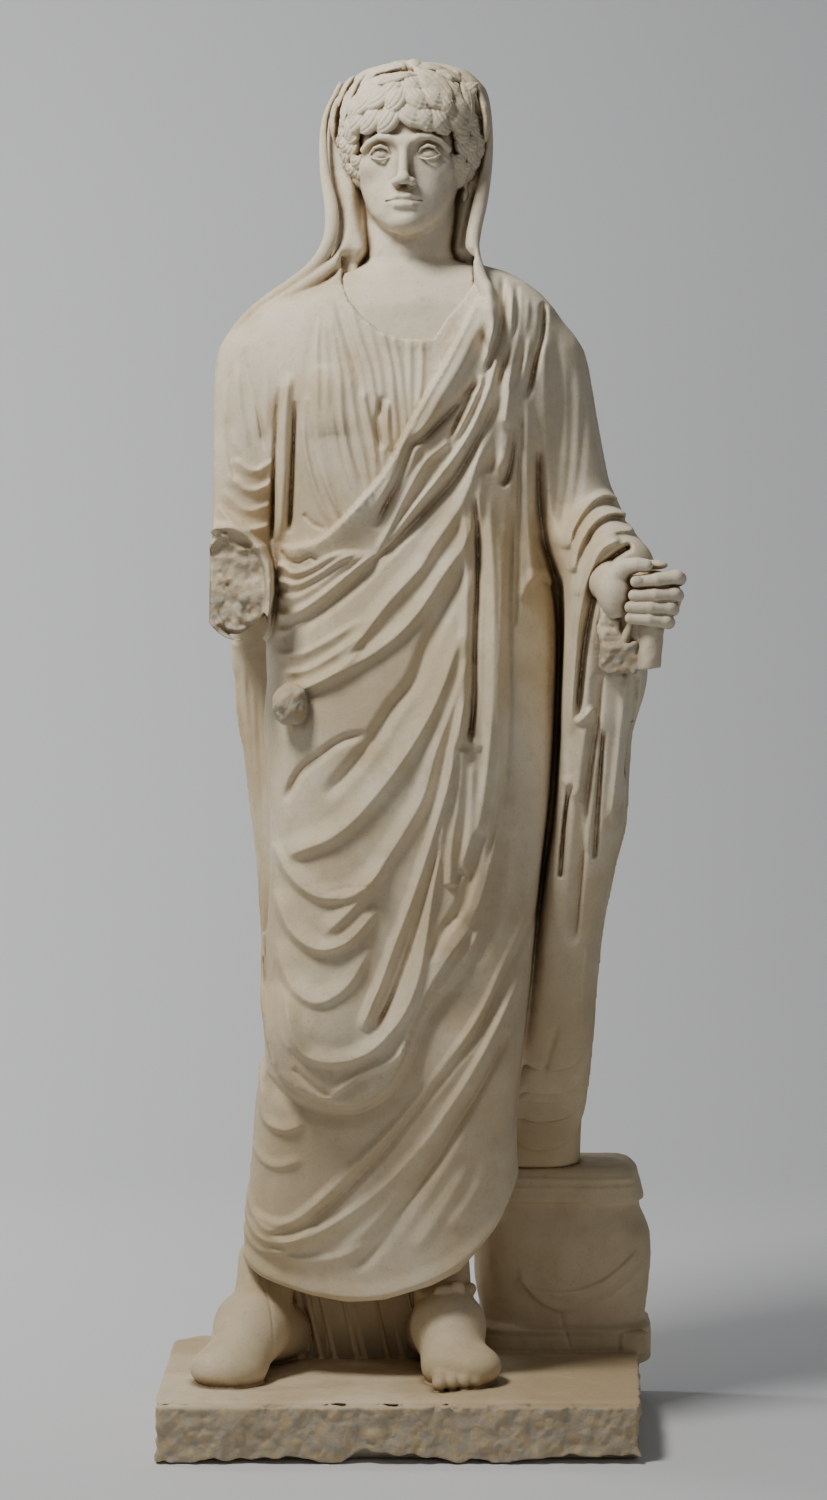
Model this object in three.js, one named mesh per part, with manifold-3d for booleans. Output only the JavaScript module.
// A draped, veiled and wreathed marble figure standing on its own plinth.
// The whole work is carved from one block, so it is one closed solid.
// The form is worked out as a distance field: rounded masses for the body,
// then folds laid over the front and the back as ridges and grooves along
// curves, then head, hair, wreath, hand, scroll box and plinth. The field is
// meshed on a regular grid and the mesh is thinned to a moderate triangle count.
// Millimetres, +Z up, the figure looks toward -Y, origin at the middle of the
// plinth's underside.

import * as THREE from 'three';
import { mergeVertices } from 'three/addons/utils/BufferGeometryUtils.js';
import Module from 'manifold-3d';

const MARBLE_COLOUR = 0xc9bea8;
const GRID_STEP = 7;
const TARGET_TRIANGLES = 9400;

const PLINTH = { left: -342, right: 337, front: -240, back: 240, top: 84, flare: 0.05 };
const HEAD = { x: 15, y: -10, z: 1820, turn: -0.1 };
const RELIEF_STEP = 3.5;

// ---------------------------------------------------------------- small maths

const { min, max, abs, hypot, pow, sin, cos, PI, round, floor } = Math;

function clamp(value, low, high) {
  return max(low, min(high, value));
}

function mix(a, b, t) {
  return a + (b - a) * t;
}

function ease(edge0, edge1, value) {
  const t = clamp((value - edge0) / (edge1 - edge0), 0, 1);
  return t * t * (3 - 2 * t);
}

function join(a, b, k) {
  const h = max(k - abs(a - b), 0) / k;
  return min(a, b) - h * h * k * 0.25;
}

function cut(a, b, k) {
  return -join(-a, -b, k);
}

// ------------------------------------------------------------- solid elements

function ellipsoid(x, y, z, c, r) {
  const px = x - c[0];
  const py = y - c[1];
  const pz = z - c[2];
  const k0 = hypot(px / r[0], py / r[1], pz / r[2]);
  const k1 = hypot(px / (r[0] * r[0]), py / (r[1] * r[1]), pz / (r[2] * r[2]));
  return k1 < 1e-9 ? -min(r[0], r[1], r[2]) : k0 * (k0 - 1) / k1;
}

function limb(x, y, z, a, b, ra, rb) {
  const bx = b[0] - a[0];
  const by = b[1] - a[1];
  const bz = b[2] - a[2];
  const px = x - a[0];
  const py = y - a[1];
  const pz = z - a[2];
  const t = clamp((px * bx + py * by + pz * bz) / (bx * bx + by * by + bz * bz), 0, 1);
  return hypot(px - bx * t, py - by * t, pz - bz * t) - mix(ra, rb, t);
}

function block(x, y, z, c, half, r) {
  const qx = abs(x - c[0]) - half[0] + r;
  const qy = abs(y - c[1]) - half[1] + r;
  const qz = abs(z - c[2]) - half[2] + r;
  return hypot(max(qx, 0), max(qy, 0), max(qz, 0)) + min(max(qx, qy, qz), 0) - r;
}

// A smooth run through control values: the value at t along points spaced by i.
function spline(points, t) {
  const last = points.length - 1;
  const i = min(floor(t * last), last - 1);
  const u = t * last - i;
  const p1 = points[i];
  const p2 = points[i + 1];
  const p0 = points[i - 1] ?? p1.map((v, k) => 2 * v - p2[k]);
  const p3 = points[i + 2] ?? p2.map((v, k) => 2 * v - p1[k]);
  return p1.map((v, k) => 0.5 * (2 * v + (p2[k] - p0[k]) * u
    + (2 * p0[k] - 5 * v + 4 * p2[k] - p3[k]) * u * u
    + (3 * v - p0[k] - 3 * p2[k] + p3[k]) * u * u * u));
}

// A lofted mass. Each station is [z, left x, right x, front y, back y], going
// down; the sections are rounded rectangles of the given roundness.
function makeLoft(stations, roundness, roundEnd) {
  const top = stations[0][0];
  const bottom = stations[stations.length - 1][0];
  const rows = [];
  for (let z = bottom; z <= top; z += 2) {
    let i = 0;
    while (i < stations.length - 2 && stations[i + 1][0] > z) i++;
    const s = (stations[i][0] - z) / (stations[i][0] - stations[i + 1][0]);
    rows.push(spline(stations, (i + s) / (stations.length - 1)));
  }
  return (x, y, z) => {
    const row = clamp((z - bottom) / 2, 0, rows.length - 1.001);
    const i = floor(row);
    const u = row - i;
    const lo = rows[i];
    const hi = rows[i + 1];
    const left = mix(lo[1], hi[1], u);
    const right = mix(lo[2], hi[2], u);
    const front = mix(lo[3], hi[3], u);
    const back = mix(lo[4], hi[4], u);
    const px = x - (left + right) / 2;
    const py = y - (front + back) / 2;
    const q = pow(pow(abs(px) / ((right - left) / 2), roundness)
      + pow(abs(py) / ((back - front) / 2), roundness), 1 / roundness);
    const wall = q < 0.05 ? -min(right - left, back - front) / 2 : hypot(px, py) * (1 - 1 / q);
    return cut(wall, max(z - top, bottom - z), roundEnd);
  };
}

// ------------------------------------------------------------------- the body

const trunk = makeLoft([
  [1676, -45, 90, -34, 84],
  [1660, -90, 150, -56, 100],
  [1640, -136, 186, -74, 110],
  [1605, -202, 220, -97, 118],
  [1550, -225, 232, -113, 126],
  [1480, -215, 222, -128, 130],
  [1380, -196, 210, -132, 132],
  [1280, -182, 205, -130, 136],
  [1180, -188, 222, -138, 142],
  [1100, -190, 226, -147, 148],
  [1000, -182, 222, -150, 150],
  [880, -176, 215, -148, 150],
  [770, -180, 203, -145, 148],
  [650, -192, 192, -138, 146],
  [540, -189, 176, -128, 142],
  [470, -202, 168, -120, 140],
  [390, -207, 166, -110, 136],
  [300, -213, 172, -100, 132],
  [215, -212, 180, -92, 128],
  [150, -205, 180, -88, 120],
], 2.5, 26);

// The veil falling from the head over the shoulders and down the back.
const mantle = makeLoft([
  [1668, -116, 134, -14, 112],
  [1650, -137, 168, -28, 124],
  [1630, -176, 200, -42, 134],
  [1599, -221, 226, -50, 140],
  [1560, -246, 250, -50, 146],
  [1500, -252, 258, -35, 150],
  [1350, -236, 252, 5, 154],
  [1200, -232, 245, 25, 156],
  [1110, -245, 240, 35, 158],
  [1050, -235, 236, 40, 160],
  [980, -224, 230, 45, 162],
  [895, -214, 225, 50, 162],
  [815, -204, 215, 55, 161],
  [700, -196, 200, 60, 158],
  [560, -186, 185, 66, 154],
  [400, -180, 135, 72, 150],
  [250, -176, 98, 76, 146],
  [60, -172, 88, 78, 140],
], 2.6, 14);

const hangingCloth = makeLoft([
  [1275, 232, 316, -150, 60],
  [1200, 226, 336, -165, 70],
  [1110, 224, 350, -152, 76],
  [1065, 222, 348, -142, 80],
  [1000, 220, 328, -128, 84],
  [870, 212, 320, -98, 92],
  [815, 204, 306, -82, 98],
  [730, 194, 289, -54, 110],
  [640, 182, 279, -24, 128],
  [560, 170, 275, 8, 146],
  [480, 160, 270, 56, 180],
  [420, 156, 268, 98, 205],
  [352, 150, 266, 124, 215],
], 3, 12);

// Plain stone left standing between the body and the hanging cloth.
const web = makeLoft([
  [1220, 120, 280, 0, 120],
  [1000, 120, 290, 0, 130],
  [760, 110, 268, 20, 140],
  [520, 100, 258, 60, 185],
  [370, 90, 256, 125, 210],
], 3, 12);

const supportCore = makeLoft([
  [400, -60, 120, 72, 150],
  [330, -120, 120, 68, 150],
  [240, -168, 100, 64, 150],
  [160, -172, 90, 66, 150],
  [60, -176, 80, 68, 150],
], 3, 12);

const scrollBox = makeLoft([
  [361, 160, 322, 156, 280],
  [357, 134, 341, 128, 296],
  [345, 121, 354, 118, 300],
  [304, 118, 363, 115, 300],
  [298, 124, 356, 121, 298],
  [250, 112, 373, 110, 300],
  [180, 112, 372, 110, 300],
  [123, 119, 366, 117, 300],
  [116, 110, 374, 108, 304],
  [60, 108, 375, 107, 304],
], 3.6, 7);

function hemHeight(x) {
  const run = [[-240, 250], [-195, 226], [-125, 205], [-75, 196], [-20, 200],
    [45, 220], [85, 240], [115, 275], [140, 305], [165, 355], [185, 395], [240, 470]];
  let i = 0;
  while (i < run.length - 2 && run[i + 1][0] < x) i++;
  const s = clamp((x - run[i][0]) / (run[i + 1][0] - run[i][0]), 0, 1);
  return mix(run[i][1], run[i + 1][1], s);
}

function drapedBody(x, y, z) {
  let d = trunk(x, y, z);
  const rightKnee = [-100, -84, 590];
  const leftKnee = [86, -52, 560];
  if (z < 1150) {
    d = join(d, limb(x, y, z, [-85, -20, 1000], rightKnee, 88, 74), 45);
    d = join(d, limb(x, y, z, rightKnee, [-158, -6, 240], 72, 58), 45);
    d = join(d, limb(x, y, z, [95, -18, 1000], leftKnee, 92, 76), 50);
    d = join(d, limb(x, y, z, leftKnee, [60, -8, 240], 74, 60), 50);
  }
  const hem = hemHeight(x) + 0.35 * max(y - 20, 0) * (x < 60 ? -1 : 0);
  return cut(d, hem - z, 10);
}

function arms(x, y, z) {
  let right = limb(x, y, z, [-195, 12, 1535], [-234, 4, 1268], 62, 61);
  const stumpZ = 1206 + (z - 1206) * 0.72;
  right = join(right, limb(x, y, stumpZ, [-231, 10, 1222], [-230, -190, 1209], 52, 51), 24);
  right = cut(right, -142 + 0.12 * (z - 1205) - y, 5);
  let left = limb(x, y, z, [200, 12, 1530], [232, 14, 1310], 63, 72);
  left = join(left, limb(x, y, z, [250, 0, 1282], [306, -135, 1234], 71, 50), 30);
  return min(right, left);
}

function shoeMass(x, y, z, heel, toe) {
  const ankle = [mix(heel[0], toe[0], 0.3), mix(heel[1], toe[1], 0.3), 205];
  const instep = [mix(heel[0], toe[0], 0.55), mix(heel[1], toe[1], 0.55), 150];
  const ball = [mix(heel[0], toe[0], 0.8), mix(heel[1], toe[1], 0.8), 108];
  let d = limb(x, y, z, [heel[0], heel[1], 120], instep, 44, 50);
  d = join(d, limb(x, y, z, instep, ball, 49, 41), 20);
  d = join(d, ellipsoid(x, y, z, [toe[0], toe[1] + 40, 104], [51, 50, 31]), 22);
  return join(d, limb(x, y, z, ankle, [ankle[0], ankle[1] + 14, 235], 42, 40), 30);
}

function feet(x, y, z) {
  const right = shoeMass(x, y, z, [-172, 84], [-246, -130]);
  const left = shoeMass(x, y, z, [50, 90], [86, -124]);
  return min(right, left);
}

// ------------------------------------------------------------------- the head

const LOCKS = [];
function addLock(azimuth, height, drop, curl, thick) {
  const points = [];
  for (let i = 0; i <= 3; i++) {
    const t = i / 3;
    const a = azimuth + curl * (t - 0.3) * (t - 0.3) * 1.4;
    const w = height - drop * t;
    const girth = Math.sqrt(max(0.2, 1 - pow((w - 30) / 96, 2)));
    points.push([81 * girth * sin(a), 14 - 99 * girth * cos(a), w]);
  }
  LOCKS.push({ points, thick });
}
for (let i = -4; i <= 4; i++) {
  const side = i <= 0 ? -1 : 1;
  addLock(i * 0.23, 92 - 2 * abs(i), 30, side * 0.34, 10);
  addLock(i * 0.25 + 0.1, 106 - 2 * abs(i), 26, -side * 0.3, 11);
}
for (const side of [-1, 1]) {
  for (let i = 0; i < 5; i++) {
    addLock(side * (1.12 + 0.08 * i), 74 - 19 * i, 26, side * 0.3, 10.5);
    addLock(side * (1.38 + 0.06 * i), 66 - 19 * i, 26, -side * 0.3, 11.5);
  }
}

function hair(u, v, w) {
  let d = ellipsoid(u, v, w, [0, 22, 36], [82, 98, 84]);
  d = cut(d, 44 - w - 0.9 * (v + 60), 10);
  for (const lock of LOCKS) {
    if (hypot(u - lock.points[1][0], v - lock.points[1][1], w - lock.points[1][2]) > 60) continue;
    for (let i = 0; i < 3; i++) {
      const r = lock.thick * (1 - 0.2 * i);
      d = join(d, limb(u, v, w, lock.points[i], lock.points[i + 1], r, r * 0.8), 3);
    }
  }
  return d;
}

function face(u, v, w) {
  const s = abs(u);
  let d = ellipsoid(s, v, w, [0, 16, 26], [74, 92, 86]);
  d = join(d, ellipsoid(s, v, w, [0, -28, -22], [62, 62, 92]), 16);
  d = join(d, ellipsoid(s, v, w, [0, -36, -72], [48, 50, 44]), 18);
  d = join(d, ellipsoid(s, v, w, [0, -72, -99], [21, 19, 16]), 14);
  d = join(d, ellipsoid(s, v, w, [37, -62, -36], [24, 22, 24]), 16);
  d = cut(d, -ellipsoid(s, v, w, [29, -104, -3], [19, 17, 11]), 10);
  d = join(d, ellipsoid(s, v, w, [28, -72, -3], [16, 14, 10]), 3);
  d = join(d, ellipsoid(s, v, w, [27, -79, 14], [26, 9, 7]), 10);
  d = join(d, limb(s, v, w, [0, -84, 8], [0, -107, -42], 6, 9.5), 7);
  d = join(d, ellipsoid(s, v, w, [10, -96, -47], [8, 11, 7]), 4);
  d = join(d, ellipsoid(s, v, w, [0, -90, -71], [21, 9, 4.5]), 3);
  d = join(d, ellipsoid(s, v, w, [0, -89, -81], [18, 9, 6]), 3);
  return join(d, ellipsoid(s, v, w, [70, 8, -20], [9, 15, 29]), 4);
}

const LEAVES = [];
function addLeaf(angle, reach, lean, out, length, width) {
  const c = [reach * sin(angle), -34 - out * 16, 12 + (reach + 5) * cos(angle)];
  const direction = [cos(angle) * -Math.sign(angle || 1), -0.12 * out, sin(abs(angle))];
  const along = new THREE.Vector3(...direction).normalize();
  const outward = new THREE.Vector3(sin(angle), -0.9 * out, cos(angle)).normalize();
  along.addScaledVector(outward, lean).normalize();
  const across = new THREE.Vector3().crossVectors(along, outward).normalize();
  const normal = new THREE.Vector3().crossVectors(across, along);
  LEAVES.push({ c, along, across, normal, length, width });
}
for (let i = -6; i <= 6; i++) {
  addLeaf(i * 0.225, 107, 0.32, 0.2 + 0.2 * ((i + 8) % 3), 30, 15);
  if (i < 6) addLeaf((i + 0.5) * 0.225, 91, -0.25, 1.5, 25, 13);
}

function leafShape(u, v, w, leaf) {
  const px = u - leaf.c[0];
  const py = v - leaf.c[1];
  const pz = w - leaf.c[2];
  const l = px * leaf.along.x + py * leaf.along.y + pz * leaf.along.z;
  const a = px * leaf.across.x + py * leaf.across.y + pz * leaf.across.z;
  const n = px * leaf.normal.x + py * leaf.normal.y + pz * leaf.normal.z;
  const taper = leaf.width * max(0.15, 1 - pow(abs(l) / leaf.length, 1.8));
  return ellipsoid(l, a, n - abs(a) * 0.25, [0, 0, 0], [leaf.length, taper, 6]);
}

function wreath(u, v, w) {
  let d = 1e3;
  for (const leaf of LEAVES) {
    if (hypot(u - leaf.c[0], v - leaf.c[1], w - leaf.c[2]) > 60) continue;
    d = min(d, leafShape(u, v, w, leaf));
  }
  const ring = hypot(hypot(u, w - 12) - 94, v + 38) - 10;
  return join(d, w > -20 ? ring : ring + 20, 4);
}

const hoodOuter = makeLoft([
  [1955, -22, 64, -12, 72],
  [1945, -54, 99, -30, 100],
  [1920, -87, 124, -42, 122],
  [1885, -104, 132, -48, 134],
  [1830, -107, 134, -50, 140],
  [1770, -106, 128, -52, 140],
  [1710, -108, 116, -56, 136],
  [1670, -122, 112, -58, 130],
  [1630, -158, 112, -56, 126],
  [1590, -176, 112, -46, 120],
], 2.2, 10);

function hood(x, y, z) {
  const rim = -34 - 0.16 * (1800 - z) * (z < 1800 ? 1 : 0.4);
  let d = cut(hoodOuter(x, y, z), rim - y, 12);
  const hollow = ellipsoid(x, y, z, [HEAD.x, -70, 1790], [94, 98, 142]);
  const throat = limb(x, y, z, [12, -50, 1600], [14, -60, 1760], 74, 90);
  d = cut(d, -join(hollow, throat, 20), 8);
  return d;
}

function headField(x, y, z) {
  const dx = x - HEAD.x;
  const dy = y - HEAD.y;
  const u = dx * cos(HEAD.turn) + dy * sin(HEAD.turn);
  const v = -dx * sin(HEAD.turn) + dy * cos(HEAD.turn);
  const w = z - HEAD.z;
  let d = join(face(u, v, w), limb(x, y, z, [8, 14, 1600], [15, 4, 1738], 66, 56), 16);
  d = min(d, hair(u, v, w));
  return min(d, wreath(u, v, w));
}

// ------------------------------------------------- the hand, scroll and block

function hand(x, y, z) {
  let d = limb(x, y, z, [288, -150, 1222], [298, -196, 1204], 32, 27);
  d = join(d, ellipsoid(x, y, z, [300, -204, 1196], [23, 20, 30]), 10);
  d = join(d, ellipsoid(x, y, z, [346, -188, 1196], [44, 22, 38]), 10);
  const fingers = [[324, 1217, 391, 1223], [322, 1199, 384, 1199], [317, 1183, 378, 1181],
    [317, 1167, 372, 1163]];
  for (const [tipX, tipZ, knuckleX, knuckleZ] of fingers) {
    d = join(d, limb(x, y, z, [tipX, -226, tipZ], [knuckleX - 20, -228, knuckleZ], 9.5, 10), 2);
    d = join(d, limb(x, y, z, [knuckleX - 20, -228, knuckleZ], [knuckleX - 4, -208, knuckleZ], 10, 10), 3);
  }
  return join(d, limb(x, y, z, [308, -208, 1226], [336, -226, 1238], 12, 10), 5);
}

function scroll(x, y, z) {
  const tube = max(hypot(x - 346 + 0.08 * (1150 - z), y + 208) - 18, abs(z - 1164) - 67);
  const rough = block(x, y, z, [302, -186, 1116], [28, 34, 24], 7);
  const behind = block(x, y, z, [300, -168, 1150], [22, 26, 50], 8);
  return min(tube, rough, behind);
}

// ------------------------------------------------------- folds over the masses

const RELIEF = { x0: -360, z0: 60, nx: 232, nz: 548 };

function emptyRelief() {
  return new Float32Array(RELIEF.nx * RELIEF.nz);
}

const frontFolds = emptyRelief();
const backFolds = emptyRelief();

// One fold: a ridge (positive height) or groove (negative height) along a
// curve of [x, z] points, with its own width on each side of the travel.
function fold(map, points, height, rightWidth, leftWidth, fade = 0.12) {
  const steps = 8 * (points.length - 1);
  const run = [];
  for (let i = 0; i <= steps; i++) run.push(spline(points, i / steps));
  const reach = max(rightWidth, leftWidth);
  const xs = run.map((p) => p[0]);
  const zs = run.map((p) => p[1]);
  const i0 = max(0, floor((min(...xs) - reach - RELIEF.x0) / RELIEF_STEP));
  const i1 = min(RELIEF.nx - 1, floor((max(...xs) + reach - RELIEF.x0) / RELIEF_STEP) + 1);
  const k0 = max(0, floor((min(...zs) - reach - RELIEF.z0) / RELIEF_STEP));
  const k1 = min(RELIEF.nz - 1, floor((max(...zs) + reach - RELIEF.z0) / RELIEF_STEP) + 1);
  for (let k = k0; k <= k1; k++) {
    for (let i = i0; i <= i1; i++) {
      const x = RELIEF.x0 + i * RELIEF_STEP;
      const z = RELIEF.z0 + k * RELIEF_STEP;
      map[k * RELIEF.nx + i] += foldHeight(run, x, z, height, rightWidth, leftWidth, fade);
    }
  }
}

function foldHeight(run, x, z, height, rightWidth, leftWidth, fade) {
  let best = 1e9;
  let side = 1;
  let along = 0;
  for (let s = 0; s < run.length - 1; s++) {
    const bx = run[s + 1][0] - run[s][0];
    const bz = run[s + 1][1] - run[s][1];
    const px = x - run[s][0];
    const pz = z - run[s][1];
    const t = clamp((px * bx + pz * bz) / (bx * bx + bz * bz + 1e-9), 0, 1);
    const d = hypot(px - bx * t, pz - bz * t);
    if (d < best) {
      best = d;
      side = bx * pz - bz * px;
      along = (s + t) / (run.length - 1);
    }
  }
  const q = best / (side > 0 ? leftWidth : rightWidth);
  if (q >= 1) return 0;
  const ends = min(1, along / fade, (1 - along) / fade);
  return height * pow(1 - q * q, 2) * ends * (2 - ends);
}

// A family of folds running from one guide curve to another.
function foldFamily(map, first, last, count, height, rightWidth, leftWidth, fade) {
  for (let i = 0; i < count; i++) {
    const s = count > 1 ? i / (count - 1) : 0;
    const points = [];
    for (let k = 0; k <= 5; k++) {
      const a = spline(first, k / 5);
      const b = spline(last, k / 5);
      points.push([mix(a[0], b[0], s), mix(a[1], b[1], s)]);
    }
    const swell = 1 + 0.25 * sin(i * 2.4);
    fold(map, points, height * swell, rightWidth, leftWidth, fade);
  }
}

function carveTunic() {
  const m = frontFolds;
  fold(m, [[-78, 1640], [-50, 1585], [10, 1555], [48, 1555], [66, 1585], [92, 1612]], 6, 34, 6);
  fold(m, [[-115, 1605], [-125, 1570], [-125, 1495]], -7, 9, 9);
  fold(m, [[-100, 1625], [-75, 1575], [-60, 1510], [-50, 1470]], -6, 8, 8);
  fold(m, [[-150, 1490], [-150, 1430], [-155, 1360], [-155, 1275]], -13, 9, 9);
  fold(m, [[-165, 1490], [-166, 1400], [-168, 1290]], 8, 14, 12);
  foldFamily(m, [[-138, 1595], [-143, 1470], [-115, 1350], [-92, 1295]],
    [[30, 1545], [18, 1510], [14, 1470]], 9, 6, 9, 9, 0.2);
  fold(m, [[-25, 1470], [-30, 1435], [-25, 1395]], -8, 7, 7);
  foldFamily(m, [[-232, 1385], [-200, 1375], [-178, 1385]],
    [[-268, 1300], [-225, 1262], [-182, 1262]], 4, 7, 16, 9, 0.2);
  foldFamily(m, [[-222, 1545], [-202, 1475], [-187, 1400]],
    [[-248, 1450], [-243, 1400], [-232, 1355]], 2, -6, 10, 10, 0.2);
  fold(m, [[-290, 1272], [-262, 1290], [-225, 1282], [-188, 1250]], 9, 12, 22);
  fold(m, [[-285, 1190], [-262, 1148], [-225, 1124], [-186, 1136]], 9, 10, 14);
}

function carveToga() {
  const m = frontFolds;
  fold(m, [[118, 1600], [78, 1505], [42, 1425], [0, 1350], [-60, 1280], [-160, 1235]], 22, 50, 46, 0.05);
  fold(m, [[100, 1625], [55, 1560], [20, 1470], [-35, 1350], [-105, 1282], [-172, 1262]], 9, 7, 40, 0.05);
  fold(m, [[122, 1530], [95, 1480], [55, 1435], [20, 1410]], -16, 9, 8);
  fold(m, [[115, 1505], [90, 1455], [65, 1410]], -11, 7, 7);
  fold(m, [[15, 1400], [0, 1360], [-15, 1330], [-45, 1255]], -9, 8, 9);
  fold(m, [[112, 1470], [80, 1400], [45, 1340], [0, 1280], [-40, 1245], [-75, 1200], [-155, 1135]], -16, 12, 18);
  foldFamily(m, [[-182, 1190], [-140, 1198], [-90, 1230], [-55, 1252]],
    [[-190, 1140], [-140, 1156], [-85, 1195], [-10, 1262]], 3, 10, 16, 9, 0.15);
  foldFamily(m, [[-182, 1105], [-140, 1110], [-95, 1135], [-50, 1160]],
    [[-150, 1072], [-95, 1095], [-60, 1125]], 2, -7, 12, 10, 0.2);
  fold(m, [[55, 1305], [30, 1245], [-20, 1190], [-60, 1135], [-100, 1085]], 11, 30, 10);
  fold(m, [[90, 1305], [65, 1245], [35, 1190], [0, 1135], [-50, 1090], [-150, 1055]], 12, 28, 11);
  fold(m, [[70, 1220], [45, 1155], [15, 1100], [-5, 1045], [-35, 995], [-105, 915]], -14, 10, 12);
  fold(m, [[85, 1130], [55, 1050], [20, 980], [-15, 930], [-60, 895], [-130, 862]], 13, 34, 11);
  fold(m, [[-50, 1005], [-90, 990], [-130, 955], [-165, 915]], -8, 12, 12);
  fold(m, [[92, 1050], [65, 970], [35, 910], [0, 850], [-35, 800], [-105, 738]], 12, 32, 11);
  fold(m, [[110, 1245], [105, 1135], [90, 1025], [70, 940], [30, 800], [5, 730], [-50, 590]], 9, 16, 9);
  fold(m, [[82, 995], [65, 870], [45, 770], [10, 625], [-25, 575], [-70, 550], [-130, 560],
    [-160, 630], [-170, 700]], 12, 34, 12);
  foldFamily(m, [[-178, 890], [-160, 810], [-110, 776], [-50, 790], [0, 840], [45, 925]],
    [[-178, 735], [-158, 665], [-120, 632], [-75, 660], [-40, 710], [5, 800]], 4, 9, 11, 28, 0.18);
}

function carveSinusAndSkirt() {
  const m = frontFolds;
  fold(m, [[152, 1200], [150, 995], [125, 825], [98, 735], [62, 685], [22, 620], [0, 555],
    [-28, 508], [-75, 490], [-140, 508], [-178, 545], [-192, 650]], 20, 85, 9, 0.04);
  fold(m, [[150, 900], [116, 735], [75, 670], [30, 600], [10, 545], [-24, 492], [-75, 474],
    [-145, 488], [-190, 520]], -9, 12, 22, 0.1);
  fold(m, [[105, 1330], [110, 1245], [106, 1135], [104, 1050], [96, 995]], -15, 8, 8);
  fold(m, [[90, 985], [80, 910], [70, 845], [70, 790]], 12, 14, 14, 0.06);
  fold(m, [[160, 1330], [155, 1245], [150, 1120], [150, 995], [140, 910], [122, 820]], -11, 10, 10);
  fold(m, [[125, 1340], [130, 1200], [128, 1050], [115, 920], [92, 800]], 10, 16, 16);
  foldFamily(m, [[185, 770], [140, 680], [90, 580], [35, 505], [-60, 395], [-170, 300]],
    [[175, 560], [120, 440], [60, 340], [-20, 285], [-110, 262], [-205, 262]], 5, 8, 26, 12, 0.15);
  fold(m, [[205, 770], [155, 685], [115, 600], [70, 540], [25, 480], [-75, 360], [-185, 265]], -8, 10, 12);
  fold(m, [[150, 585], [115, 515], [80, 455], [45, 395], [10, 340], [-65, 250]], -7, 16, 18);
  foldFamily(m, [[-208, 465], [-185, 448], [-150, 452], [-110, 470]],
    [[-225, 292], [-195, 270], [-160, 268], [-120, 284]], 3, 6, 8, 16, 0.15);
  fold(m, [[-225, 252], [-160, 222], [-75, 204], [-20, 208], [45, 228], [85, 248], [140, 312], [188, 402]],
    5, 12, 20, 0.04);
}

function carveLeftSide() {
  const m = frontFolds;
  foldFamily(m, [[145, 1648], [145, 1595], [135, 1545], [115, 1510]],
    [[205, 1612], [205, 1570], [196, 1510], [192, 1450]], 4, -9, 8, 8, 0.12);
  fold(m, [[120, 1640], [130, 1560], [112, 1480], [85, 1420]], 10, 16, 16);
  fold(m, [[152, 1610], [150, 1525], [142, 1445], [132, 1375]], 10, 14, 12);
  fold(m, [[155, 1430], [155, 1395], [150, 1365], [142, 1352]], -14, 9, 7);
  fold(m, [[168, 1450], [165, 1350], [165, 1245], [160, 1150]], -8, 9, 9);
  fold(m, [[185, 1480], [188, 1380], [190, 1280], [196, 1180]], 9, 16, 16);
  foldFamily(m, [[220, 1570], [225, 1445], [215, 1330], [205, 1275]],
    [[262, 1480], [258, 1400], [245, 1330], [228, 1290]], 3, -6, 10, 10, 0.2);
  foldFamily(m, [[222, 1278], [245, 1310], [275, 1330], [305, 1334]],
    [[275, 1195], [280, 1240], [300, 1262], [325, 1262]], 4, 7, 8, 14, 0.15);
  fold(m, [[195, 1290], [222, 1240], [232, 1180], [230, 1110], [225, 995], [220, 870], [205, 770],
    [176, 545], [160, 425]], -22, 16, 14, 0.06);
  fold(m, [[170, 1190], [182, 1216], [200, 1226], [222, 1212]], 8, 12, 14);
  foldFamily(m, [[262, 1240], [247, 1180], [240, 1110], [235, 1040], [232, 955], [234, 800]],
    [[330, 1150], [322, 1080], [312, 1000], [300, 920], [290, 840], [285, 780]], 4, -10, 9, 9, 0.12);
  foldFamily(m, [[250, 1190], [246, 1080], [250, 960], [245, 860]],
    [[300, 1120], [296, 1020], [290, 920], [282, 820]], 3, 8, 13, 13, 0.15);
}

function carveBack() {
  const m = backFolds;
  foldFamily(m, [[160, 1600], [120, 1380], [20, 1180], [-110, 1050], [-200, 1000]],
    [[225, 1500], [215, 1150], [150, 860], [20, 640], [-160, 540]], 6, 12, 34, 24, 0.12);
  foldFamily(m, [[-70, 1780], [-110, 1640], [-150, 1450], [-170, 1200]],
    [[70, 1780], [90, 1640], [60, 1480], [-20, 1300]], 4, 9, 20, 20, 0.15);
  foldFamily(m, [[160, 820], [60, 560], [-60, 380], [-170, 300]],
    [[200, 560], [140, 380], [40, 260], [-80, 200]], 4, 9, 26, 20, 0.15);
  foldFamily(m, [[250, 1180], [255, 900], [235, 650]],
    [[310, 1120], [300, 900], [262, 650]], 2, -8, 12, 12, 0.15);
}

carveTunic();
carveToga();
carveSinusAndSkirt();
carveLeftSide();
carveBack();

function sampleRelief(map, x, z) {
  const gx = clamp((x - RELIEF.x0) / RELIEF_STEP, 0, RELIEF.nx - 1.001);
  const gz = clamp((z - RELIEF.z0) / RELIEF_STEP, 0, RELIEF.nz - 1.001);
  const i = floor(gx);
  const k = floor(gz);
  const u = gx - i;
  const t = gz - k;
  const at = k * RELIEF.nx + i;
  return mix(mix(map[at], map[at + 1], u), mix(map[at + RELIEF.nx], map[at + RELIEF.nx + 1], u), t);
}

// The plane that parts front from back: it runs deeper beside the body, where
// the cloth hanging from the forearm falls away to the rear.
function partingDepth(x, z) {
  const beside = ease(195, 225, x);
  return beside * ease(1100, 420, z) * 130;
}

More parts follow.
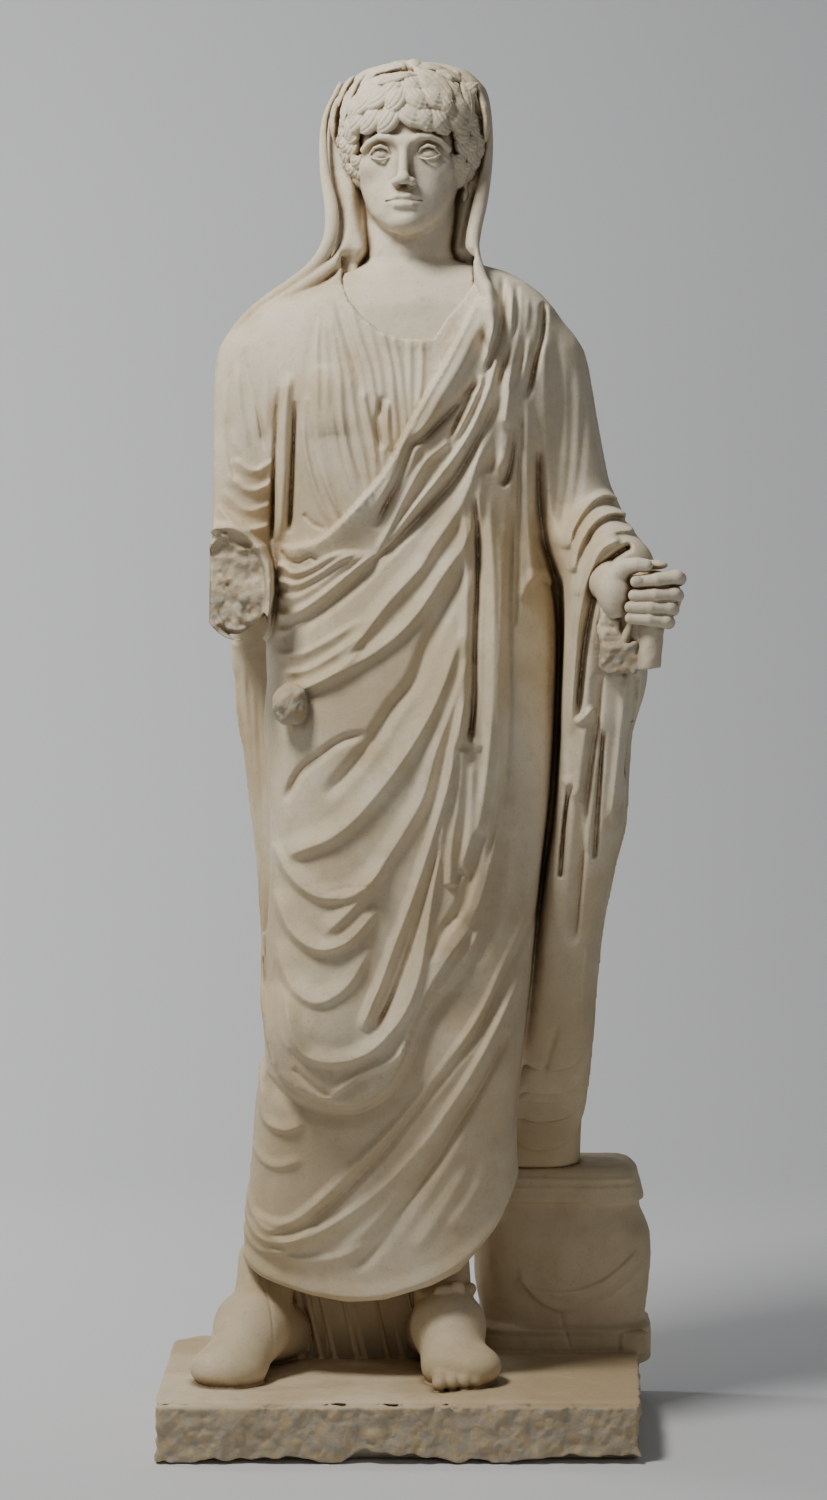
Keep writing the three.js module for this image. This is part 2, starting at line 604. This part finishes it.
// -------------------------------------------------------------- whole figure

function plinth(x, y, z) {
  const side = PLINTH.right + PLINTH.flare * (y - PLINTH.front);
  const half = [(side - PLINTH.left) / 2, (PLINTH.back - PLINTH.front) / 2, PLINTH.top / 2 + 9];
  const centre = [(side + PLINTH.left) / 2, 0, PLINTH.top / 2 - 9];
  return block(x, y, z, centre, half, 11);
}

const RIM_ROLLS = [
  [[-90, -40, 1870], [-92, -44, 1800], [-93, -46, 1740], [-97, -44, 1692], [-126, -40, 1655],
    [-183, -34, 1617], [-225, -24, 1586], [-245, -10, 1540]],
  [[-74, 0, 1770], [-78, -18, 1695], [-98, -36, 1655], [-148, -48, 1628], [-205, -46, 1598]],
  [[-56, 10, 1740], [-58, -20, 1670], [-72, -46, 1640]],
  [[115, -40, 1860], [116, -46, 1800], [111, -50, 1740], [100, -54, 1690], [108, -68, 1652],
    [126, -92, 1610], [130, -112, 1560]],
];

function rimRolls(x, y, z) {
  let d = 1e3;
  for (const run of RIM_ROLLS) {
    for (let i = 0; i < run.length - 1; i++) d = min(d, limb(x, y, z, run[i], run[i + 1], 12, 12));
  }
  return d;
}

function draped(x, y, z) {
  let d = drapedBody(x, y, z);
  d = join(d, arms(x, y, z), 16);
  d = join(d, mantle(x, y, z), 14);
  if (z > 1500) {
    d = join(d, hood(x, y, z), 10);
    d = join(d, rimRolls(x, y, z), 12);
  }
  if (z < 1320) d = join(d, hangingCloth(x, y, z), 12);
  if (z < 1260) d = join(d, web(x, y, z), 16);
  if (abs(d) < 60) {
    const depth = y - partingDepth(x, z);
    d -= sampleRelief(frontFolds, x, z) * ease(25, -45, depth);
    d -= sampleRelief(backFolds, x, z) * ease(20, 90, depth);
  }
  return d;
}

function statueField(x, y, z) {
  let d = draped(x, y, z);
  if (z > 1560) d = join(d, headField(x, y, z), 4);
  if (z > 1040 && z < 1330 && x > 220) {
    d = join(d, hand(x, y, z), 5);
    d = join(d, scroll(x, y, z), 3);
  }
  if (x < -110 && abs(z - 1045) < 80) {
    d = join(d, ellipsoid(x, y, z, [-152, -128, 1046], [24, 26, 27]), 4);
  }
  if (z < 560) {
    d = join(d, supportCore(x, y, z), 12);
    d = min(d, max(scrollBox(x, y, z), y - 236));
    d = join(d, feet(x, y, z), 4);
    d = join(d, plinth(x, y, z), 5);
  }
  return d;
}

// ------------------------------------------------------------------- meshing

const BOUNDS = { min: [-357, -273, -28], max: [420, 280, 1992] };

function sampleField() {
  const n = [0, 1, 2].map((k) => floor((BOUNDS.max[k] - BOUNDS.min[k]) / GRID_STEP) + 1);
  const values = new Float32Array(n[0] * n[1] * n[2]);
  const cells = 8;
  const reach = cells * GRID_STEP;
  for (let bk = 0; bk < n[2]; bk += cells) {
    for (let bj = 0; bj < n[1]; bj += cells) {
      for (let bi = 0; bi < n[0]; bi += cells) {
        const corner = [bi, bj, bk];
        const mid = corner.map((c, k) => BOUNDS.min[k] + (c + cells / 2) * GRID_STEP);
        const centre = statueField(...mid);
        fillBlock(values, n, corner, cells, abs(centre) > reach * 1.6 ? centre : null);
      }
    }
  }
  return { n, values };
}

function fillBlock(values, n, corner, cells, constant) {
  for (let k = corner[2]; k < min(corner[2] + cells, n[2]); k++) {
    for (let j = corner[1]; j < min(corner[1] + cells, n[1]); j++) {
      for (let i = corner[0]; i < min(corner[0] + cells, n[0]); i++) {
        let v = constant;
        if (v === null) {
          v = statueField(BOUNDS.min[0] + i * GRID_STEP, BOUNDS.min[1] + j * GRID_STEP,
            BOUNDS.min[2] + k * GRID_STEP);
        }
        values[(k * n[1] + j) * n[0] + i] = abs(v) < 0.02 ? 0.02 : v;
      }
    }
  }
}

// Marching tetrahedra: each cell is split into six tetrahedra about one
// diagonal, which always gives a closed surface.
const TETS = [[0, 5, 1, 6], [0, 1, 2, 6], [0, 2, 3, 6], [0, 3, 7, 6], [0, 7, 4, 6], [0, 4, 5, 6]];
const CORNERS = [[0, 0, 0], [1, 0, 0], [1, 1, 0], [0, 1, 0], [0, 0, 1], [1, 0, 1], [1, 1, 1], [0, 1, 1]];

function marchField({ n, values }) {
  const positions = [];
  const triangles = [];
  const edgeVertex = new Map();
  const total = n[0] * n[1] * n[2];
  const offsets = CORNERS.map((c) => (c[2] * n[1] + c[1]) * n[0] + c[0]);
  const pointOf = (id) => [id % n[0], floor(id / n[0]) % n[1], floor(id / (n[0] * n[1]))];
  const vertexOn = (a, b) => {
    const key = min(a, b) * total + max(a, b);
    const known = edgeVertex.get(key);
    if (known !== undefined) return known;
    const lo = min(a, b);
    const hi = max(a, b);
    const t = clamp(values[lo] / (values[lo] - values[hi]), 0.04, 0.96);
    const p = pointOf(lo);
    const q = pointOf(hi);
    for (let c = 0; c < 3; c++) positions.push(BOUNDS.min[c] + GRID_STEP * mix(p[c], q[c], t));
    edgeVertex.set(key, positions.length / 3 - 1);
    return positions.length / 3 - 1;
  };
  for (let k = 0; k < n[2] - 1; k++) {
    for (let j = 0; j < n[1] - 1; j++) {
      for (let i = 0; i < n[0] - 1; i++) {
        const base = (k * n[1] + j) * n[0] + i;
        const first = values[base] < 0;
        if (offsets.every((o) => (values[base + o] < 0) === first)) continue;
        for (const tet of TETS) {
          marchTet(tet.map((c) => base + offsets[c]), values, vertexOn, triangles);
        }
      }
    }
  }
  return { positions, triangles };
}

function marchTet(ids, values, vertexOn, triangles) {
  const inside = ids.filter((id) => values[id] < 0);
  const outside = ids.filter((id) => values[id] >= 0);
  if (inside.length === 0 || outside.length === 0) return;
  const odd = permutationIsOdd(ids, inside.concat(outside));
  const add = (a, b, c) => (odd ? triangles.push(a, c, b) : triangles.push(a, b, c));
  if (inside.length === 1) {
    add(...outside.map((o) => vertexOn(inside[0], o)));
  } else if (inside.length === 3) {
    add(...inside.map((s) => vertexOn(s, outside[0])));
  } else {
    const [a, b] = inside;
    const [c, d] = outside;
    const quad = [vertexOn(a, c), vertexOn(a, d), vertexOn(b, d), vertexOn(b, c)];
    add(quad[0], quad[1], quad[2]);
    add(quad[0], quad[2], quad[3]);
  }
}

function permutationIsOdd(from, to) {
  const order = to.map((id) => from.indexOf(id));
  let swaps = 0;
  for (let a = 0; a < 4; a++) {
    for (let b = a + 1; b < 4; b++) {
      if (order[a] > order[b]) swaps++;
    }
  }
  return swaps % 2 === 1;
}

// ------------------------------------------------------------------ thinning

// How much each place matters when triangles are given up: the head and the
// hand keep more than the body, the back and the plinth keep less.
function importance(x, y, z) {
  if (z > 1690 && y < 40) return y < -60 ? 24 : 8;
  if (x > 270 && z > 1080 && z < 1290) return 4;
  if (z < 84) return 0.5;
  return y > 70 ? 0.35 : 1;
}

class Thinner {
  constructor({ positions, triangles }) {
    const vertexCount = positions.length / 3;
    this.p = Float64Array.from(positions);
    this.t = Int32Array.from(triangles);
    this.count = triangles.length / 3;
    this.q = new Float64Array(vertexCount * 10);
    this.faces = Array.from({ length: vertexCount }, () => []);
    this.stamp = new Int32Array(vertexCount);
    this.alive = new Uint8Array(this.count).fill(1);
    this.best = [0, 0, 0];
    for (let f = 0; f < this.count; f++) this.addFace(f);
  }

  // Unit normal (n) and area of a triangle whose first corner is at x, y, z.
  normal(n, x, y, z, b, c) {
    const p = this.p;
    const ux = p[b * 3] - x;
    const uy = p[b * 3 + 1] - y;
    const uz = p[b * 3 + 2] - z;
    const vx = p[c * 3] - x;
    const vy = p[c * 3 + 1] - y;
    const vz = p[c * 3 + 2] - z;
    n[0] = uy * vz - uz * vy;
    n[1] = uz * vx - ux * vz;
    n[2] = ux * vy - uy * vx;
    const l = Math.sqrt(n[0] * n[0] + n[1] * n[1] + n[2] * n[2]) || 1e-12;
    n[0] /= l;
    n[1] /= l;
    n[2] /= l;
    return l / 2;
  }

  addFace(f) {
    const ids = [this.t[f * 3], this.t[f * 3 + 1], this.t[f * 3 + 2]];
    const o = ids[0] * 3;
    const n = [0, 0, 0];
    const area = this.normal(n, this.p[o], this.p[o + 1], this.p[o + 2], ids[1], ids[2]);
    const [a, b, c] = n;
    const d = -(a * this.p[o] + b * this.p[o + 1] + c * this.p[o + 2]);
    const w = area * importance(this.p[o], this.p[o + 1], this.p[o + 2]);
    const terms = [a * a, a * b, a * c, a * d, b * b, b * c, b * d, c * c, c * d, d * d];
    for (const id of ids) {
      this.faces[id].push(f);
      for (let i = 0; i < 10; i++) this.q[id * 10 + i] += w * terms[i];
    }
  }

  // Finds the place where the two ends can meet most cheaply, and its cost.
  settle(a, b) {
    const q = this.q;
    const p = this.p;
    const i = a * 10;
    const j = b * 10;
    const xx = q[i] + q[j];
    const xy = q[i + 1] + q[j + 1];
    const xz = q[i + 2] + q[j + 2];
    const xw = q[i + 3] + q[j + 3];
    const yy = q[i + 4] + q[j + 4];
    const yz = q[i + 5] + q[j + 5];
    const yw = q[i + 6] + q[j + 6];
    const zz = q[i + 7] + q[j + 7];
    const zw = q[i + 8] + q[j + 8];
    const ww = q[i + 9] + q[j + 9];
    const dx = p[a * 3] - p[b * 3];
    const dy = p[a * 3 + 1] - p[b * 3 + 1];
    const dz = p[a * 3 + 2] - p[b * 3 + 2];
    const length2 = dx * dx + dy * dy + dz * dz;
    const mx = (p[a * 3] + p[b * 3]) / 2;
    const my = (p[a * 3 + 1] + p[b * 3 + 1]) / 2;
    const mz = (p[a * 3 + 2] + p[b * 3 + 2]) / 2;
    let x = mx;
    let y = my;
    let z = mz;
    const c0 = yy * zz - yz * yz;
    const c1 = xz * yz - xy * zz;
    const c2 = xy * yz - xz * yy;
    const det = xx * c0 + xy * c1 + xz * c2;
    const size = xx + yy + zz;
    if (abs(det) > 2e-4 * size * size * size) {
      const sx = -(c0 * xw + c1 * yw + c2 * zw) / det;
      const sy = -(c1 * xw + (xx * zz - xz * xz) * yw + (xy * xz - xx * yz) * zw) / det;
      const sz = -(c2 * xw + (xy * xz - xx * yz) * yw + (xx * yy - xy * xy) * zw) / det;
      const far2 = (sx - mx) * (sx - mx) + (sy - my) * (sy - my) + (sz - mz) * (sz - mz);
      if (far2 < length2 * 2) {
        x = sx;
        y = sy;
        z = sz;
      }
    }
    this.best[0] = x;
    this.best[1] = y;
    this.best[2] = z;
    return x * x * xx + y * y * yy + z * z * zz + ww + length2 * 1e-3
      + 2 * (x * y * xy + x * z * xz + y * z * yz + x * xw + y * yw + z * zw);
  }

  edgesCheaperThan(limit) {
    const found = [];
    for (let f = 0; f < this.alive.length; f++) {
      if (!this.alive[f]) continue;
      for (let c = 0; c < 3; c++) {
        const a = this.t[f * 3 + c];
        const b = this.t[f * 3 + (c + 1) % 3];
        if (a > b) continue;
        const cost = this.settle(a, b);
        if (cost < limit) found.push({ cost, a, b, sa: this.stamp[a], sb: this.stamp[b] });
      }
    }
    return found.sort((u, v) => u.cost - v.cost);
  }

  neighbours(v) {
    const set = new Set();
    for (const f of this.faces[v]) {
      for (let c = 0; c < 3; c++) set.add(this.t[f * 3 + c]);
    }
    set.delete(v);
    return set;
  }

  canMove(v, other) {
    const before = [0, 0, 0];
    const after = [0, 0, 0];
    const [x, y, z] = this.best;
    for (const f of this.faces[v]) {
      const c = this.t[f * 3] === v ? 0 : this.t[f * 3 + 1] === v ? 1 : 2;
      const b1 = this.t[f * 3 + (c + 1) % 3];
      const b2 = this.t[f * 3 + (c + 2) % 3];
      if (b1 === other || b2 === other) continue;
      this.normal(before, this.p[v * 3], this.p[v * 3 + 1], this.p[v * 3 + 2], b1, b2);
      const area = this.normal(after, x, y, z, b1, b2);
      const turn = before[0] * after[0] + before[1] * after[1] + before[2] * after[2];
      if (turn < 0.3 || area < 0.4) return false;
    }
    return true;
  }

  collapse(a, b) {
    const around = this.neighbours(a);
    const shared = [...this.neighbours(b)].filter((v) => around.has(v));
    if (shared.length !== 2) return;
    if (shared.some((v) => this.faces[v].length < 4)) return;
    this.settle(a, b);
    if (!this.canMove(a, b) || !this.canMove(b, a)) return;
    this.p.set(this.best, a * 3);
    for (let i = 0; i < 10; i++) this.q[a * 10 + i] += this.q[b * 10 + i];
    this.mergeFaces(a, b);
    this.stamp[a]++;
    this.stamp[b]++;
  }

  mergeFaces(a, b) {
    for (const f of this.faces[b]) {
      const ids = [this.t[f * 3], this.t[f * 3 + 1], this.t[f * 3 + 2]];
      if (ids.includes(a)) {
        this.alive[f] = 0;
        this.count--;
        for (const v of ids) {
          if (v !== b) this.faces[v] = this.faces[v].filter((g) => g !== f);
        }
      } else {
        this.t[f * 3 + ids.indexOf(b)] = a;
        this.faces[a].push(f);
      }
    }
    this.faces[b] = [];
  }

  // Collapses the cheapest edges first, in rounds of rising cost.
  run(target) {
    for (let limit = 0.3; this.count > target && limit < 1e9; limit *= 1.7) {
      for (const edge of this.edgesCheaperThan(limit)) {
        if (this.count <= target) break;
        if (edge.sa === this.stamp[edge.a] && edge.sb === this.stamp[edge.b]) {
          this.collapse(edge.a, edge.b);
        }
      }
    }
    return this.result();
  }

  result() {
    const index = [];
    for (let f = 0; f < this.alive.length; f++) {
      if (this.alive[f]) index.push(this.t[f * 3], this.t[f * 3 + 1], this.t[f * 3 + 2]);
    }
    const used = new Map();
    const positions = [];
    const renumbered = index.map((v) => {
      if (!used.has(v)) {
        used.set(v, used.size);
        positions.push(this.p[v * 3], this.p[v * 3 + 1], this.p[v * 3 + 2]);
      }
      return used.get(v);
    });
    return { positions, triangles: renumbered };
  }
}

// ------------------------------------------------------------ underside, solid

function toGeometry({ positions, triangles }) {
  const geometry = new THREE.BufferGeometry();
  geometry.setAttribute('position', new THREE.Float32BufferAttribute(positions, 3));
  geometry.setIndex(triangles);
  return geometry;
}

function toManifold(wasm, geometry) {
  const clean = geometry.clone();
  clean.deleteAttribute('normal');
  clean.deleteAttribute('uv');
  const merged = mergeVertices(clean, 1e-4);
  return new wasm.Manifold(new wasm.Mesh({
    numProp: 3,
    vertProperties: merged.attributes.position.array,
    triVerts: Uint32Array.from(merged.index.array),
  }));
}

// The underside is cut flat, so the plinth bears on one plane.
async function cutUnderside(geometry) {
  const wasm = await Module();
  wasm.setup();
  const below = new THREE.BoxGeometry(1200, 1200, 200).translate(0, 0, -100);
  const solid = toManifold(wasm, geometry).subtract(toManifold(wasm, below));
  const pieces = solid.decompose().sort((a, b) => b.volume() - a.volume());
  const mesh = pieces[0].getMesh();
  const positions = [];
  for (let i = 0; i < mesh.vertProperties.length; i += mesh.numProp) {
    positions.push(...mesh.vertProperties.slice(i, i + 3));
  }
  return toGeometry({ positions, triangles: [...mesh.triVerts] });
}

const carved = new Thinner(marchField(sampleField())).run(TARGET_TRIANGLES);
const geometry = await cutUnderside(toGeometry(carved));
geometry.computeVertexNormals();

const marble = new THREE.MeshStandardMaterial({ color: MARBLE_COLOUR, roughness: 0.62, metalness: 0 });
const statue = new THREE.Mesh(geometry, marble);
statue.name = 'statue';

const group = new THREE.Group();
group.add(statue);

export default group;
